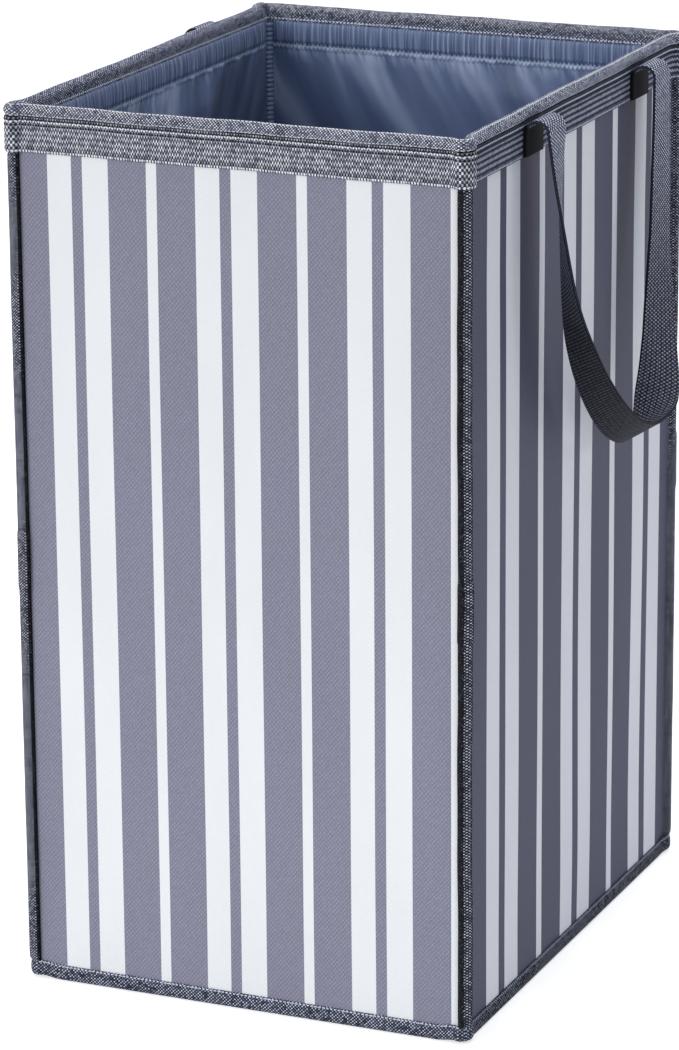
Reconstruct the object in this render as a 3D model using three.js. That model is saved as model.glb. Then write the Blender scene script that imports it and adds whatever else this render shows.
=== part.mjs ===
// Pop up laundry hamper: four cloth walls, each held flat by a closed loop of spring wire,
// stand open as a box and fold flat together as a parallelogram.
//
// Millimetres, +Z up. The origin is on the floor under the middle of the hamper. The front
// wall faces -Y, and a webbing handle hangs on the -X wall and on the +X wall.
//
// Each wall is built in a frame of its own and then turned into place. In that frame X runs
// along the wall and -Y is outward. Distances outward from the fold plane are called "out":
// the fold plane is the innermost plane of the wall, and neighbouring fold planes meet on the
// vertical line that the corner folds about.

import * as THREE from 'three';
import { mergeVertices } from 'three/addons/utils/BufferGeometryUtils.js';

// Overall sizes
const WIDTH = 332; // over the cloth of the two handle walls
const DEPTH = 419; // over the cloth of the front and back walls
const HEIGHT = 640; // floor to the top of the rim

// Fits
const CLEARANCE = 0.3; // between pieces that touch
const FOLD_CLEARANCE = 0.2; // from a wall's innermost face to its fold plane

// Layers of a wall
const LINING_THICKNESS = 0.8;
const LEAF_THICKNESS = 1; // one ply of binding
const WIRE_DIAMETER = 3;
const PANEL_THICKNESS = 1;
const BAND_THICKNESS = 1.6;

// Top edge
const ROLL_DIAMETER = 8.8; // rolled rim binding
const ROLL_UNDERSIDE_SHARE = 0.94; // how far down the roll's radius its flat underside lies
const RIM_LEAF_DROP = 13.5; // rim's top to the lower edge of its inner leaf
const BAND_HEIGHT = 24.5;
const BAND_RIBS = 6;
const BAND_RIB_DEPTH = 0.4;

// Bottom edge
const HEM_HEIGHT = 11;
const HEM_PROUD = 2.7; // hem's outer face beyond the cloth
const HEM_FOLD = 3; // thickness of binding under the wall
const HEM_EDGE_RADIUS = 1.2;
const HEM_LEAF_HEIGHT = 9;
const BASE_THICKNESS = 2;

// Wire loop
const WIRE_CORNER_RADIUS = 14;
const WIRE_SIDES = 8;
const WIRE_CORNER_STEPS = 5;

// Lining
const GATHER_PITCH = 23; // one gather of the channel
const GATHER_DEPTH = 1.6;
const GATHER_COLUMNS = 4; // facets along one gather
const CHANNEL_HEIGHT = 18;
const STITCH_DEPTH = 0.3; // what the stitch line still stands in from the wall
const DRAPE_PITCH = 74; // one soft fold below the channel
const DRAPE_DEPTH = 1.7;
const DRAPE_SLANT = 90; // how far a fold drifts sideways down the wall
const EDGE_FADE = 80; // folds die out over this width at the corners

// Corner binding
const SEAM_THICKNESS = 4.5;
const SEAM_REACH = 12.5; // from the fold line to the outer edge of the bound seam
const SEAM_WIDTH = 9; // across the bound edge
const RIM_TURN_REACH = 13.5; // where band and rim turn the corner
const RIM_TURN_WIDTH = 11;
const HEM_TURN_REACH = 13;
const HEM_TURN_WIDTH = 10;
const TURN_TAPER = 2; // height over which the seam widens into a turn
const LAP_LENGTH = 40; // tape overlap at mid height
const LAP_HEIGHT = 313; // its middle, above the floor
const LAP_GROWTH = 0.6;
const BEAD_STEPS = 8;
const TOP_STEPS = 3;

// Handles
const STRAP_WIDTH = 32;
const STRAP_THICKNESS = 2.4;
const STRAP_BEND = 7; // radius of the strap's middle where it turns over at a tab
const HANDLE_SPAN = 212; // between the middles of the two tabs
const HANDLE_SHIFT = 17; // both handles sit this far behind the middle of their walls
const HANDLE_DROP = 242; // tab bend to the bottom of the hanging loop
const HANDLE_LEAN = 20; // how much further out the loop hangs at its bottom
const STRAP_EDGE = 0.6; // rounding of the strap's edges
const BOTTOM_TILT_DEG = 32; // the loop's outer edge rides this much higher at its bottom
const PIVOT_DROP = 7.2; // from the band's top to the axis that the handle swings about

// The hanging loop, as shares: sideways of half the span, down of the drop, out of the lean
const LOOP_SHARES = [
  [-1.0, 0.0, 0.0],
  [-0.97, 0.15, 0.03],
  [-0.93, 0.3, 0.12],
  [-0.88, 0.47, 0.28],
  [-0.79, 0.6, 0.42],
  [-0.62, 0.74, 0.6],
  [-0.35, 0.88, 0.82],
  [-0.05, 0.97, 0.96],
  [0.24, 1.0, 1.0],
  [0.47, 0.965, 0.93],
  [0.62, 0.895, 0.8],
  [0.71, 0.8, 0.63],
  [0.78, 0.66, 0.45],
  [0.86, 0.5, 0.27],
  [0.94, 0.33, 0.12],
  [0.99, 0.15, 0.03],
  [1.0, 0.0, 0.0],
];
// How far round the strap has turned, as a share of half a turn, along the hanging loop
const TWIST_SHARES = [
  [0.0, 0.0],
  [0.1, 0.12],
  [0.2, 0.21],
  [0.28, 0.3],
  [0.4, 0.39],
  [0.52, 0.51],
  [0.6, 0.72],
  [0.67, 0.84],
  [0.74, 0.92],
  [0.8, 0.97],
  [1.0, 1.0],
];
const LOOP_STEPS = 40;
const BEND_STEPS = 6;

// Places outward from the fold plane
const liningOut = FOLD_CLEARANCE + LINING_THICKNESS;
const leafOut = FOLD_CLEARANCE + LEAF_THICKNESS;
const wireOut = leafOut + CLEARANCE + WIRE_DIAMETER / 2;
const panelIn = wireOut + WIRE_DIAMETER / 2 + CLEARANCE;
const panelOut = panelIn + PANEL_THICKNESS;
const bandIn = panelOut + CLEARANCE;
const bandOut = bandIn + BAND_THICKNESS;
const rollRadius = ROLL_DIAMETER / 2;
const rollCentre = FOLD_CLEARANCE + rollRadius;
const rollOut = FOLD_CLEARANCE + ROLL_DIAMETER;
const hemOut = panelOut + HEM_PROUD;
const tabIn = bandOut + CLEARANCE;
const tabOut = tabIn + STRAP_THICKNESS;
const pivotOut = tabOut + CLEARANCE + STRAP_THICKNESS / 2 + STRAP_BEND;

// Heights
const rollHeight = HEIGHT - rollRadius;
const rollUnderside = rollHeight - rollRadius * ROLL_UNDERSIDE_SHARE;
const bandTop = rollUnderside - CLEARANCE;
const bandBottom = bandTop - BAND_HEIGHT;
const leafBottom = HEIGHT - RIM_LEAF_DROP;
const liningTop = leafBottom - CLEARANCE;
const liningBottom = HEM_LEAF_HEIGHT + CLEARANCE;
const panelBottom = HEM_FOLD + CLEARANCE;
const wireBottom = panelBottom + WIRE_DIAMETER / 2;
const pivotHeight = bandTop - PIVOT_DROP;

// Plan: the corner fold lines stand at (+-foldX, +-foldY)
const foldX = WIDTH / 2 - panelOut;
const foldY = DEPTH / 2 - panelOut;
const setBack = SEAM_THICKNESS / 2 + CLEARANCE; // from a fold line to the end of a wall's layers

const finish = (color, roughness, metalness = 0) =>
  new THREE.MeshStandardMaterial({ color, roughness, metalness });
const MATERIALS = {
  panel: () => finish(0x8c8ca0, 0.9),
  lining: () => finish(0x4d5f82, 0.45),
  wire: () => finish(0x9a9ea4, 0.35, 1),
  band: () => finish(0x77777c, 0.9),
  rim: () => finish(0x6c6c72, 0.9),
  hem: () => finish(0x3c3c44, 0.9),
  corner: () => finish(0x47474e, 0.9),
  strap: () => finish(0x34353f, 0.85),
  tab: () => finish(0x1f1f22, 0.85),
  base: () => finish(0x54566a, 0.9),
};

// A named mesh from a geometry, with its shared vertices merged and its faces turned outward.
function piece(name, geometry, material) {
  geometry.deleteAttribute('uv');
  geometry.deleteAttribute('normal');
  const solid = mergeVertices(geometry);
  if (signedVolume(solid) < 0) turnInsideOut(solid);
  solid.computeVertexNormals();
  const mesh = new THREE.Mesh(solid, material);
  mesh.name = name;
  return mesh;
}

function signedVolume(geometry) {
  const { array } = geometry.index;
  const corner = [new THREE.Vector3(), new THREE.Vector3(), new THREE.Vector3()];
  let volume = 0;
  for (let i = 0; i < array.length; i += 3) {
    corner.forEach((point, k) => point.fromBufferAttribute(geometry.attributes.position, array[i + k]));
    volume += corner[0].dot(corner[1].cross(corner[2]));
  }
  return volume;
}

function turnInsideOut(geometry) {
  const { array } = geometry.index;
  for (let i = 0; i < array.length; i += 3) [array[i], array[i + 1]] = [array[i + 1], array[i]];
}

// A skin over rings of points. A looped loft joins its last ring to its first. An open loft has
// rings in which point k faces point size - 1 - k, and its caps are the strips between the two.
function loft(rings, looped = false) {
  const size = rings[0].length;
  const index = [];
  const quad = (a, b, c, d) => {
    index.push(a, b, c);
    if (c !== d) index.push(a, c, d);
  };
  const spans = looped ? rings.length : rings.length - 1;
  for (let r = 0; r < spans; r += 1) {
    const here = r * size;
    const next = ((r + 1) % rings.length) * size;
    for (let k = 0; k < size; k += 1) {
      const after = (k + 1) % size;
      quad(here + k, here + after, next + after, next + k);
    }
  }
  if (!looped) {
    const end = (rings.length - 1) * size;
    for (let k = 0; k < Math.ceil(size / 2) - 1; k += 1) {
      const facing = size - 1 - k;
      quad(k, facing, facing - 1, k + 1);
      quad(end + facing, end + k, end + k + 1, end + facing - 1);
    }
  }
  const geometry = new THREE.BufferGeometry();
  const places = rings.flat().flatMap((point) => point.toArray());
  geometry.setAttribute('position', new THREE.Float32BufferAttribute(places, 3));
  geometry.setIndex(index);
  return geometry;
}

// A profile drawn in (out, height) run along a wall, from -halfLength to +halfLength.
function runAlongWall(profile, halfLength, curveSegments = 10) {
  const geometry = new THREE.ExtrudeGeometry(profile, {
    depth: 2 * halfLength,
    bevelEnabled: false,
    curveSegments,
  });
  const outward = new THREE.Vector3(0, -1, 0);
  const up = new THREE.Vector3(0, 0, 1);
  const along = new THREE.Vector3(-1, 0, 0);
  geometry.applyMatrix4(new THREE.Matrix4().makeBasis(outward, up, along));
  return geometry.translate(halfLength, 0, 0);
}

function rectangle(outLow, outHigh, low, high) {
  const shape = new THREE.Shape();
  shape.moveTo(outLow, low);
  shape.lineTo(outHigh, low);
  shape.lineTo(outHigh, high);
  shape.lineTo(outLow, high);
  shape.closePath();
  return shape;
}

const smooth = (x) => {
  const t = THREE.MathUtils.clamp(x, 0, 1);
  return t * t * (3 - 2 * t);
};

// The value of a share table at x, on a straight line between its rows.
function tableAt(shares, x) {
  const next = Math.max(shares.findIndex(([place]) => place >= x), 1);
  const [[from, low], [to, high]] = [shares[next - 1], shares[next]];
  return THREE.MathUtils.mapLinear(x, from, to, low, high);
}

// Rolled rim: a round roll over the top of the wire, a pocket that the wire lies in, and a
// leaf that hangs down inside over the lining.
function rimProfile() {
  const pocketRadius = WIRE_DIAMETER / 2 + CLEARANCE;
  const endAngle = -Math.asin(ROLL_UNDERSIDE_SHARE);
  const shape = new THREE.Shape();
  shape.moveTo(FOLD_CLEARANCE, leafBottom);
  shape.lineTo(FOLD_CLEARANCE, rollHeight);
  shape.absarc(rollCentre, rollHeight, rollRadius, Math.PI, endAngle, true);
  shape.lineTo(wireOut + pocketRadius, rollUnderside);
  shape.lineTo(wireOut + pocketRadius, rollHeight);
  shape.absarc(wireOut, rollHeight, pocketRadius, 0, Math.PI, false);
  shape.lineTo(leafOut, leafBottom);
  shape.closePath();
  return shape;
}

// Webbing band: a flat ribbon whose face is a row of rounded ribs.
function bandProfile() {
  const shape = new THREE.Shape();
  const pitch = BAND_HEIGHT / BAND_RIBS;
  const valley = bandOut - BAND_RIB_DEPTH;
  shape.moveTo(bandIn, bandBottom);
  shape.lineTo(valley, bandBottom);
  for (let rib = 0; rib < BAND_RIBS; rib += 1) {
    const foot = bandBottom + rib * pitch;
    shape.quadraticCurveTo(bandOut + BAND_RIB_DEPTH, foot + pitch / 2, valley, foot + pitch);
  }
  shape.lineTo(bandIn, bandTop);
  shape.closePath();
  return shape;
}

// Hem: binding folded under the wall, with a pocket for the wire and the lower edge of the
// cloth, its outer leaf proud of the cloth and its inner leaf below the lining.
function hemProfile() {
  const r = HEM_EDGE_RADIUS;
  const pocketOut = panelOut + CLEARANCE;
  const shape = new THREE.Shape();
  shape.moveTo(FOLD_CLEARANCE, HEM_LEAF_HEIGHT);
  shape.lineTo(FOLD_CLEARANCE, r);
  shape.absarc(FOLD_CLEARANCE + r, r, r, Math.PI, 1.5 * Math.PI, false);
  shape.lineTo(hemOut - r, 0);
  shape.absarc(hemOut - r, r, r, 1.5 * Math.PI, 2 * Math.PI, false);
  shape.lineTo(hemOut, HEM_HEIGHT - r);
  shape.absarc(hemOut - r, HEM_HEIGHT - r, r, 0, Math.PI / 2, false);
  shape.lineTo(pocketOut, HEM_HEIGHT);
  shape.lineTo(pocketOut, HEM_FOLD);
  shape.lineTo(leafOut, HEM_FOLD);
  shape.lineTo(leafOut, HEM_LEAF_HEIGHT);
  shape.closePath();
  return shape;
}

// Spring wire: one closed loop with rounded corners, from the rim roll to the hem.
function wireLoop(halfLength) {
  const half = halfLength - WIRE_DIAMETER / 2;
  const corners = [
    [half, rollHeight, 0],
    [-half, rollHeight, 1],
    [-half, wireBottom, 2],
    [half, wireBottom, 3],
  ];
  const middle = (rollHeight + wireBottom) / 2;
  const rings = [];
  for (const [x, z, quarter] of corners) {
    const centreX = x - Math.sign(x) * WIRE_CORNER_RADIUS;
    const centreZ = z - Math.sign(z - middle) * WIRE_CORNER_RADIUS;
    for (let step = 0; step <= WIRE_CORNER_STEPS; step += 1) {
      const turn = (quarter + step / WIRE_CORNER_STEPS) * (Math.PI / 2);
      const ring = [];
      for (let side = 0; side < WIRE_SIDES; side += 1) {
        const angle = ((side + 0.5) / WIRE_SIDES) * 2 * Math.PI;
        const reach = WIRE_CORNER_RADIUS + (WIRE_DIAMETER / 2) * Math.cos(angle);
        ring.push(new THREE.Vector3(
          centreX + reach * Math.cos(turn),
          -wireOut + (WIRE_DIAMETER / 2) * Math.sin(angle),
          centreZ + reach * Math.sin(turn),
        ));
      }
      rings.push(ring);
    }
  }
  return loft(rings, true);
}

// Lining: a thin sheet that puffs inward in gathers between the rim and a stitch line, and
// hangs below that line in wide slanting folds. All folds die out towards the corners.
function liningSheet(halfLength) {
  const gathers = Math.round((2 * halfLength) / GATHER_PITCH);
  const columns = gathers * GATHER_COLUMNS;
  const stitchLine = liningTop - CHANNEL_HEIGHT;
  const hang = stitchLine - liningBottom;
  const heights = [
    liningBottom,
    liningBottom + hang / 3,
    liningBottom + (2 * hang) / 3,
    stitchLine - CHANNEL_HEIGHT,
    stitchLine,
    stitchLine + CHANNEL_HEIGHT / 2,
    liningTop,
  ];
  const puff = (x, z) => {
    const fade = smooth((halfLength - Math.abs(x)) / EDGE_FADE);
    if (z >= stitchLine) {
      const rise = Math.sin((Math.PI * (z - stitchLine)) / CHANNEL_HEIGHT);
      const wave = 0.5 - 0.5 * Math.cos((2 * Math.PI * gathers * (x + halfLength)) / (2 * halfLength));
      return fade * (STITCH_DEPTH + GATHER_DEPTH * wave * rise);
    }
    const down = (stitchLine - z) / hang;
    const drift = (x + DRAPE_SLANT * down) / DRAPE_PITCH;
    const wave = 0.5 + 0.5 * Math.sin(2 * Math.PI * drift);
    return fade * (STITCH_DEPTH + DRAPE_DEPTH * wave * Math.sin(Math.PI * Math.sqrt(down)));
  };
  const ringAt = (z) => {
    const inner = [];
    const outer = [];
    for (let column = 0; column <= columns; column += 1) {
      const x = -halfLength + (2 * halfLength * column) / columns;
      inner.push(new THREE.Vector3(x, puff(x, z) - FOLD_CLEARANCE, z));
      outer.push(new THREE.Vector3(x, puff(x, z) - liningOut, z));
    }
    return [...inner, ...outer.reverse()];
  };
  return loft(heights.map(ringAt));
}

// One wall with all its layers, in its own frame.
function wall(side, halfSpan) {
  const group = new THREE.Group();
  const layers = halfSpan - setBack;
  group.add(
    piece(`${side}_panel`, runAlongWall(rectangle(panelIn, panelOut, panelBottom, bandTop), layers),
      MATERIALS.panel()),
    piece(`${side}_lining`, liningSheet(halfSpan - CLEARANCE), MATERIALS.lining()),
    piece(`${side}_wire`, wireLoop(layers), MATERIALS.wire()),
    piece(`${side}_band`, runAlongWall(bandProfile(), layers, 3), MATERIALS.band()),
    piece(`${side}_rim`, runAlongWall(rimProfile(), layers), MATERIALS.rim()),
    piece(`${side}_hem`, runAlongWall(hemProfile(), layers, 3), MATERIALS.hem()),
  );
  return group;
}

// Section of a bound corner seam: a flat stem that starts clear of the linings and a rounded
// bead at its outer edge. The first axis runs out along the corner's bisector.
function seamSection(neck, reach, width) {
  const root = liningOut + CLEARANCE;
  const bead = neck + CLEARANCE;
  const half = SEAM_THICKNESS / 2;
  const points = [new THREE.Vector2(root, -half), new THREE.Vector2(neck, -half)];
  for (let step = 0; step <= BEAD_STEPS; step += 1) {
    const angle = -Math.PI / 2 + (Math.PI * step) / BEAD_STEPS;
    points.push(new THREE.Vector2(
      bead + (reach - bead) * Math.cos(angle),
      (width / 2) * Math.sin(angle),
    ));
  }
  points.push(new THREE.Vector2(neck, half), new THREE.Vector2(root, half));
  return points;
}

// Corner binding from the floor to the rim. It is narrow beside the cloth, thicker where its
// two tapes lap, and wider where hem, band and rim turn the corner outside it.
function cornerBinding() {
  const seam = (growth = 0) =>
    seamSection(panelOut + CLEARANCE, SEAM_REACH + growth, SEAM_WIDTH + 2 * growth);
  const hemTurn = seamSection(hemOut + CLEARANCE, HEM_TURN_REACH, HEM_TURN_WIDTH);
  const rimTurn = seamSection(rollOut + CLEARANCE, RIM_TURN_REACH, RIM_TURN_WIDTH);
  const lapLow = LAP_HEIGHT - LAP_LENGTH / 2;
  const lapHigh = LAP_HEIGHT + LAP_LENGTH / 2;
  const levels = [
    [0, hemTurn],
    [HEM_HEIGHT + CLEARANCE, hemTurn],
    [HEM_HEIGHT + CLEARANCE + TURN_TAPER, seam()],
    [lapLow - LAP_GROWTH, seam()],
    [lapLow, seam(LAP_GROWTH)],
    [lapHigh, seam(LAP_GROWTH)],
    [lapHigh + LAP_GROWTH, seam()],
    [bandBottom - CLEARANCE - TURN_TAPER, seam()],
    [bandBottom - CLEARANCE, rimTurn],
    [rollHeight, rimTurn],
  ];
  for (let step = 1; step <= TOP_STEPS; step += 1) {
    const rise = (Math.PI / 2) * (step / (TOP_STEPS + 1));
    const shrink = Math.cos(rise);
    const neck = rollOut + CLEARANCE;
    levels.push([
      rollHeight + (rollRadius - CLEARANCE) * Math.sin(rise),
      seamSection(neck, neck + (RIM_TURN_REACH - neck) * shrink,
        SEAM_THICKNESS + (RIM_TURN_WIDTH - SEAM_THICKNESS) * shrink),
    ]);
  }
  const rings = levels.map(([z, section]) => section.map((p) => new THREE.Vector3(p.x, p.y, z)));
  return loft(rings);
}

// Sewn end of a handle strap on the band: flat, with the rounded turn of the strap at its top.
function tabProfile() {
  const turn = STRAP_THICKNESS / 2;
  const shape = new THREE.Shape();
  shape.moveTo(tabIn, bandBottom + STRAP_EDGE);
  shape.lineTo(tabIn + STRAP_EDGE, bandBottom);
  shape.lineTo(tabOut - STRAP_EDGE, bandBottom);
  shape.lineTo(tabOut, bandBottom + STRAP_EDGE);
  shape.lineTo(tabOut, bandTop - turn);
  shape.absarc(tabIn + turn, bandTop - turn, turn, 0, Math.PI, false);
  shape.closePath();
  return shape;
}

function handleTab(x) {
  const half = STRAP_WIDTH / 2;
  return runAlongWall(tabProfile(), half, 6).translate(x, 0, 0);
}

// Middle line of a handle strap: over the bend at one tab, down, round the bottom of the
// loop, up and over the bend at the other tab.
function handlePath() {
  const halfSpan = HANDLE_SPAN / 2;
  const strandOut = pivotOut + STRAP_BEND;
  const hanging = new THREE.CatmullRomCurve3(
    LOOP_SHARES.map(([sideways, down, out]) => new THREE.Vector3(
      HANDLE_SHIFT + sideways * halfSpan,
      -(strandOut + out * HANDLE_LEAN),
      pivotHeight - down * HANDLE_DROP,
    )),
    false,
    'centripetal',
  );
  const bend = (x, step) => {
    const angle = Math.PI * (1 - step / BEND_STEPS);
    return new THREE.Vector3(
      x,
      -(pivotOut + STRAP_BEND * Math.cos(angle)),
      pivotHeight + STRAP_BEND * Math.sin(angle),
    );
  };
  const points = [];
  for (let step = 0; step < BEND_STEPS; step += 1) points.push(bend(HANDLE_SHIFT - halfSpan, step));
  points.push(...hanging.getSpacedPoints(LOOP_STEPS));
  for (let step = BEND_STEPS - 1; step >= 0; step -= 1) points.push(bend(HANDLE_SHIFT + halfSpan, step));
  return points;
}

// Handle strap: a flat section carried along the path. It lies flat to the wall at both tabs
// and makes half a turn between them, so that it stands on edge to the wall at the bottom.
function handleStrap() {
  const path = handlePath();
  const first = BEND_STEPS;
  const last = path.length - 1 - BEND_STEPS;
  const halfWidth = STRAP_WIDTH / 2;
  const halfThickness = STRAP_THICKNESS / 2;
  const section = [
    [-halfWidth, -halfThickness + STRAP_EDGE],
    [-halfWidth + STRAP_EDGE, -halfThickness],
    [halfWidth - STRAP_EDGE, -halfThickness],
    [halfWidth, -halfThickness + STRAP_EDGE],
    [halfWidth, halfThickness - STRAP_EDGE],
    [halfWidth - STRAP_EDGE, halfThickness],
    [-halfWidth + STRAP_EDGE, halfThickness],
    [-halfWidth, halfThickness - STRAP_EDGE],
  ];
  const rings = path.map((point, i) => {
    const before = path[Math.max(i - 1, 0)];
    const after = path[Math.min(i + 1, path.length - 1)];
    const tangent = after.clone().sub(before).normalize();
    const progress = THREE.MathUtils.clamp((i - first) / (last - first), 0, 1);
    const turn = Math.PI * tableAt(TWIST_SHARES, progress);
    const tilt = THREE.MathUtils.degToRad(BOTTOM_TILT_DEG) * Math.sin(turn);
    const across = new THREE.Vector3(
      Math.cos(turn),
      Math.sin(turn) * Math.cos(tilt),
      -Math.sin(tilt) * Math.sin(turn),
    );
    across.addScaledVector(tangent, -across.dot(tangent)).normalize();
    const normal = new THREE.Vector3().crossVectors(tangent, across);
    return section.map(([w, t]) => point.clone().addScaledVector(across, w).addScaledVector(normal, t));
  });
  return loft(rings);
}

// A wall that carries a handle, with the handle's two tabs. The left wall's handle is the
// mirror image of the right wall's.
function handleWall(side, mirror) {
  const group = wall(side, foldY);
  const halfSpan = HANDLE_SPAN / 2;
  group.add(
    piece(`${side}_handle_tab_a`, handleTab(mirror * (HANDLE_SHIFT - halfSpan)), MATERIALS.tab()),
    piece(`${side}_handle_tab_b`, handleTab(mirror * (HANDLE_SHIFT + halfSpan)), MATERIALS.tab()),
    piece(`${side}_handle`, handleStrap().scale(mirror, 1, 1), MATERIALS.strap()),
  );
  return group;
}

// Cloth base inside the four hems, resting on the floor.
function basePanel() {
  const half = [foldX, foldY].map((fold) => fold + FOLD_CLEARANCE - CLEARANCE);
  const shape = new THREE.Shape();
  shape.moveTo(-half[0], -half[1]);
  shape.lineTo(half[0], -half[1]);
  shape.lineTo(half[0], half[1]);
  shape.lineTo(-half[0], half[1]);
  shape.closePath();
  return new THREE.ExtrudeGeometry(shape, { depth: BASE_THICKNESS, bevelEnabled: false });
}

const hamper = new THREE.Group();

// Walls, turned so that each faces outward from its own side of the plan
const WALLS = [
  [wall('front', foldX), 0, -foldY, 0],
  [handleWall('right', 1), foldX, 0, Math.PI / 2],
  [wall('back', foldX), 0, foldY, Math.PI],
  [handleWall('left', -1), -foldX, 0, -Math.PI / 2],
];
for (const [group, x, y, turn] of WALLS) {
  group.position.set(x, y, 0);
  group.rotation.z = turn;
  hamper.add(group);
}

// Corner bindings, each pointing out along its corner's bisector
const CORNERS = [
  ['front_right', foldX, -foldY],
  ['back_right', foldX, foldY],
  ['back_left', -foldX, foldY],
  ['front_left', -foldX, -foldY],
];
for (const [corner, x, y] of CORNERS) {
  const binding = piece(`corner_binding_${corner}`, cornerBinding(), MATERIALS.corner());
  binding.position.set(x, y, 0);
  binding.rotation.z = Math.atan2(Math.sign(y), Math.sign(x));
  hamper.add(binding);
}

hamper.add(piece('base_panel', basePanel(), MATERIALS.base()));

export default hamper;
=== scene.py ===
"""Looks of a pop up laundry hamper: striped cloth walls with bound edges, a heather rim with a
webbing band, a slate satin lining and two webbing handles. Lengths are in millimetres until a
mesh is made; every mesh carries a UV map in millimetres that its weave is drawn on."""

import math

import bmesh
import bpy
import numpy as np
from mathutils import Matrix, Vector


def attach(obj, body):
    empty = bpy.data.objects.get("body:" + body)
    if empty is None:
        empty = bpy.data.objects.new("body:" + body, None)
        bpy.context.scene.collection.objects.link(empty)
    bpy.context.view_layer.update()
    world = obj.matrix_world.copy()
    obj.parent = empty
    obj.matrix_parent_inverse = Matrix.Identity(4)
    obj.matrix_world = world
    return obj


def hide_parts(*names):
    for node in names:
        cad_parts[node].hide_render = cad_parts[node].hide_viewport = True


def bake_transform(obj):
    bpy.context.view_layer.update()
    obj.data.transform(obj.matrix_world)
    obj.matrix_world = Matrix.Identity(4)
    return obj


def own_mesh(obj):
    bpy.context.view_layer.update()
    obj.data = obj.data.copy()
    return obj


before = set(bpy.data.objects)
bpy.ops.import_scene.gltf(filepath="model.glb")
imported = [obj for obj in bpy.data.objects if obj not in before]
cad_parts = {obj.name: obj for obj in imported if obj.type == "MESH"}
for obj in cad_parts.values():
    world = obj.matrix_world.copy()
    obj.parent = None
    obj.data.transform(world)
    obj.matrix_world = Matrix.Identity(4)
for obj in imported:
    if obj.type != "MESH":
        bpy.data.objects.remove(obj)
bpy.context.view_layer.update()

MM = 0.001
WIDTH, DEPTH, HEIGHT = 332.0, 419.0, 640.0
CLEARANCE = 0.3

# Layers of a wall, outward from its fold plane
LINING_IN, LINING_OUT = 0.3, 0.8
LEAF_IN, LEAF_OUT = 0.2, 1.2
PANEL_IN, PANEL_OUT = 4.8, 5.8
BAND_IN, BAND_OUT = PANEL_OUT + CLEARANCE, 7.7
ROLL_CENTRE, ROLL_RADIUS = 4.6, 4.4

# Heights
ROLL_Z = HEIGHT - ROLL_RADIUS
ROLL_UNDERSIDE_SHARE = 0.94
BAND_HEIGHT, BAND_RIBS = 24.5, 6
BAND_TOP = ROLL_Z - ROLL_UNDERSIDE_SHARE * ROLL_RADIUS - CLEARANCE
BAND_BOTTOM = BAND_TOP - BAND_HEIGHT
LEAF_BOTTOM = HEIGHT - 12.0
LINING_TOP, LINING_BOTTOM = LEAF_BOTTOM - CLEARANCE, 9.3
CHANNEL = 18.0
STITCH_Z = LINING_TOP - CHANNEL
PANEL_BOTTOM = 3.3

# Plan: the fold lines of the corners, and the gap from them to the layers of a wall
FOLD_X, FOLD_Y = WIDTH / 2 - PANEL_OUT, DEPTH / 2 - PANEL_OUT
SET_BACK = 2.55

# How far pieces swing out round the bound seam of a corner, and the radius of their UV map there
ROLL_BULGE, LEAF_BULGE, BAND_BULGE, HEM_BULGE = 4.7, 4.0, 5.8, 2.6
TURN_RADIUS = 9.0

# name, outward, along, half span, origin
WALLS = {
    "front": ((0, -1), (1, 0), FOLD_X, (0, -FOLD_Y)),
    "right": ((1, 0), (0, 1), FOLD_Y, (FOLD_X, 0)),
    "back": ((0, 1), (-1, 0), FOLD_X, (0, FOLD_Y)),
    "left": ((-1, 0), (0, -1), FOLD_Y, (-FOLD_X, 0)),
}
FRONT_AND_BACK = ("front", "back")
# name, the wall before it and the wall after it, going round anticlockwise from above
CORNERS = {
    "front_right": ("front", "right", (FOLD_X, -FOLD_Y)),
    "back_right": ("right", "back", (FOLD_X, FOLD_Y)),
    "back_left": ("back", "left", (-FOLD_X, FOLD_Y)),
    "front_left": ("left", "front", (-FOLD_X, -FOLD_Y)),
}


# Meshes


def mesh(name, rings, uv, second=None, split=0, sharp=42, slots=0):
    """A closed skin over rings of points, in millimetres. uv has one more column than the rings.
    Spans from split on read the second uv. slots gives the material index of each span."""
    rings, uv = np.asarray(rings, float), np.asarray(uv, float)
    second = uv if second is None else second
    count, size, _ = rings.shape
    slots = np.broadcast_to(slots, count - 1)
    span, side = (x.ravel() for x in np.mgrid[: count - 1, :size])
    start, end = span * size, (span + 1) * size
    beside = (side + 1) % size
    faces = np.stack([start + side, end + side, end + beside, start + beside], 1).tolist()

    def corners(source):
        before, after = source[span, side], source[span, side + 1]
        return np.stack([before, source[span + 1, side], source[span + 1, side + 1], after], 1)

    late = (span >= split)[:, None, None]
    loops = np.where(late, corners(second), corners(uv)).reshape(-1, 2).tolist()
    indices = slots[span].tolist()
    for ring, slot in ((0, slots[0]), (count - 1, slots[-1])):
        source = uv if ring < split else second
        for near in range((size + 1) // 2 - 1):
            cap = [near, size - 1 - near, size - 2 - near, near + 1]
            if cap[2] == cap[3]:
                cap = cap[:3]
            faces.append([ring * size + x for x in cap])
            loops += [source[ring, x].tolist() for x in cap]
            indices.append(slot)
    data = bpy.data.meshes.new(name)
    data.from_pydata((rings.reshape(-1, 3) * MM).tolist(), [], faces)
    layer = data.uv_layers.new(name="Cloth")
    layer.data.foreach_set("uv", np.array(loops, np.float32).ravel())
    bm = bmesh.new()
    bm.from_mesh(data)
    bmesh.ops.recalc_face_normals(bm, faces=bm.faces)
    bm.to_mesh(data)
    bm.free()
    data.polygons.foreach_set("material_index", indices)
    data.shade_smooth()
    data.set_sharp_from_angle(angle=math.radians(sharp))
    made = bpy.data.objects.new(name, data)
    bpy.context.scene.collection.objects.link(made)
    return made


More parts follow.
